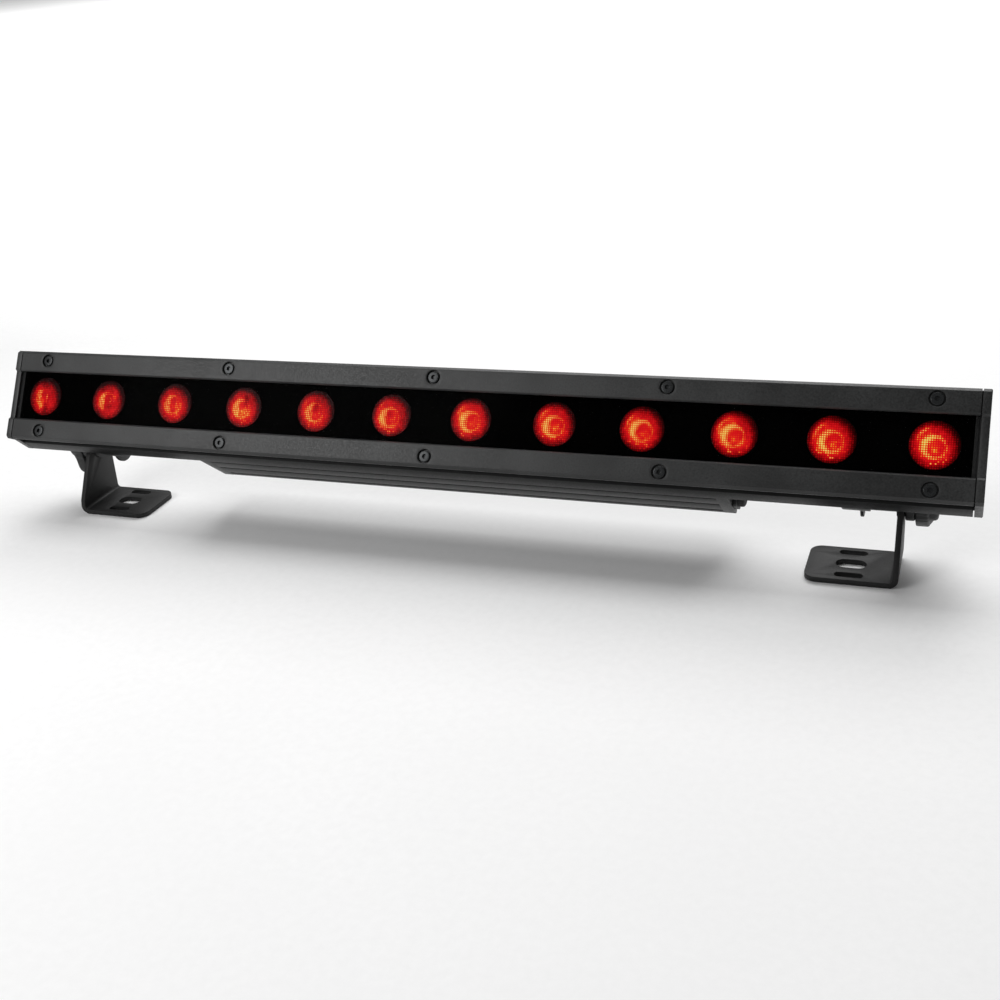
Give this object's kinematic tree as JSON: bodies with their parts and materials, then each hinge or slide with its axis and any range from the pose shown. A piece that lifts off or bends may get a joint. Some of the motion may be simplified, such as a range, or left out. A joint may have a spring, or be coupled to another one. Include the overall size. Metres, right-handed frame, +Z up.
{
  "type": "led strip batten",
  "caption": "Long black LED batten: a row of round lenses behind one window, driver box on the back, tilting slotted foot brackets with clamp knobs.",
  "frame": {"origin": "on the floor plane, midway between the central slots of the two foot brackets", "axes": "+X along the batten to its right seen from the lit front, +Y towards its back, +Z up; the batten is shown tilted back 32.4 degrees"},
  "size_m": [1, 0.1082, 0.1755],
  "materials": {
    "black_satin_aluminium": "fine satin black coat",
    "driver_cap_metal": "satin black coat",
    "window_glass": "clear tempered pane",
    "lens_plastic": "moulded clear lens lit red",
    "black_rubber": "matte",
    "black_plastic": "matte",
    "circuit_board": "solder mask",
    "chip_ceramic": "ceramic and silicone dome",
    "black_screw_steel": "black oxide",
    "zinc_steel": "bright zinc plate",
    "supply_case": "mill finish",
    "lead_sheath": "soft sheath",
    "cast_block": "black coat on casting",
    "black_collar": "moulded nylon",
    "black_powder_steel": "fine textured black powder coat",
    "knob_plastic": "fine textured moulding",
    "insert_brass": "turned"
  },
  "bodies": {
    "housing": {"housing_extrusion": "black_satin_aluminium", "upper_bezel": "black_satin_aluminium", "upper_bezel_screws": "black_screw_steel", "lower_bezel": "black_satin_aluminium", "lower_bezel_screws": "black_screw_steel", "window_glass": "window_glass", "window_gasket": "black_rubber", "lens_mask": "black_plastic", "lens_01": "lens_plastic", "lens_02": "lens_plastic", "lens_03": "lens_plastic", "lens_04": "lens_plastic", "lens_05": "lens_plastic", "lens_06": "lens_plastic", "lens_07": "lens_plastic", "lens_08": "lens_plastic", "lens_09": "lens_plastic", "lens_10": "lens_plastic", "lens_11": "lens_plastic", "lens_12": "lens_plastic", "lens_holders": "black_plastic", "led_board": "circuit_board", "led_chips": "chip_ceramic", "board_screws": "zinc_steel", "driver_housing": "black_satin_aluminium", "driver_mount_screws": "zinc_steel", "power_supply": "supply_case", "control_board": "circuit_board", "lead_grommet": "black_rubber", "led_lead": "lead_sheath", "power_inlet": "black_plastic", "inlet_cap": "black_rubber", "end_cap_gaskets": "black_rubber", "end_cap_screws": "black_screw_steel", "driver_end_screws": "zinc_steel", "end_cap_left": "black_satin_aluminium", "end_cap_right": "black_satin_aluminium", "driver_end_cap_left": "driver_cap_metal", "driver_end_cap_right": "driver_cap_metal"},
    "block_left": {"hinge_block_left": "cast_block", "rail_screw_left": "zinc_steel", "tee_nut_left": "zinc_steel", "pivot_bolt_left": "zinc_steel", "spacer_tube_left": "zinc_steel", "friction_washers_left": "black_plastic", "clamp_collar_left": "black_collar"},
    "foot_left": {"foot_bracket_left": "black_powder_steel"},
    "knob_left": {"clamp_knob_left": "knob_plastic", "knob_insert_left": "insert_brass"},
    "block_right": {"hinge_block_right": "cast_block", "rail_screw_right": "zinc_steel", "tee_nut_right": "zinc_steel", "pivot_bolt_right": "zinc_steel", "spacer_tube_right": "zinc_steel", "friction_washers_right": "black_plastic", "clamp_collar_right": "black_collar"},
    "foot_right": {"foot_bracket_right": "black_powder_steel"},
    "knob_right": {"clamp_knob_right": "knob_plastic", "knob_insert_right": "insert_brass"}
  },
  "joints": [
    {"name": "slide_left", "type": "slide", "parent": "housing", "child": "block_left", "axis": [-1, 0, 0], "range_m": [-0.045, 0.02]},
    {"name": "tilt_left", "type": "hinge", "parent": "block_left", "child": "foot_left", "pos_m": [-0.433, 0.0175, 0.0618], "axis": [1, 0, 0], "range_deg": [-42, 145]},
    {"name": "knob_turn_left", "type": "hinge", "parent": "block_left", "child": "knob_left", "pos_m": [-0.455, 0.0175, 0.0618], "axis": [-1, 0, 0], "range_deg": [0, 360]},
    {"name": "slide_right", "type": "slide", "parent": "housing", "child": "block_right", "axis": [1, 0, 0], "range_m": [-0.045, 0.02]},
    {"name": "tilt_right", "type": "hinge", "parent": "block_right", "child": "foot_right", "pos_m": [0.433, 0.0175, 0.0618], "axis": [1, 0, 0], "range_deg": [-42, 145]},
    {"name": "knob_turn_right", "type": "hinge", "parent": "block_right", "child": "knob_right", "pos_m": [0.455, 0.0175, 0.0618], "axis": [1, 0, 0], "range_deg": [0, 360]}
  ]
}
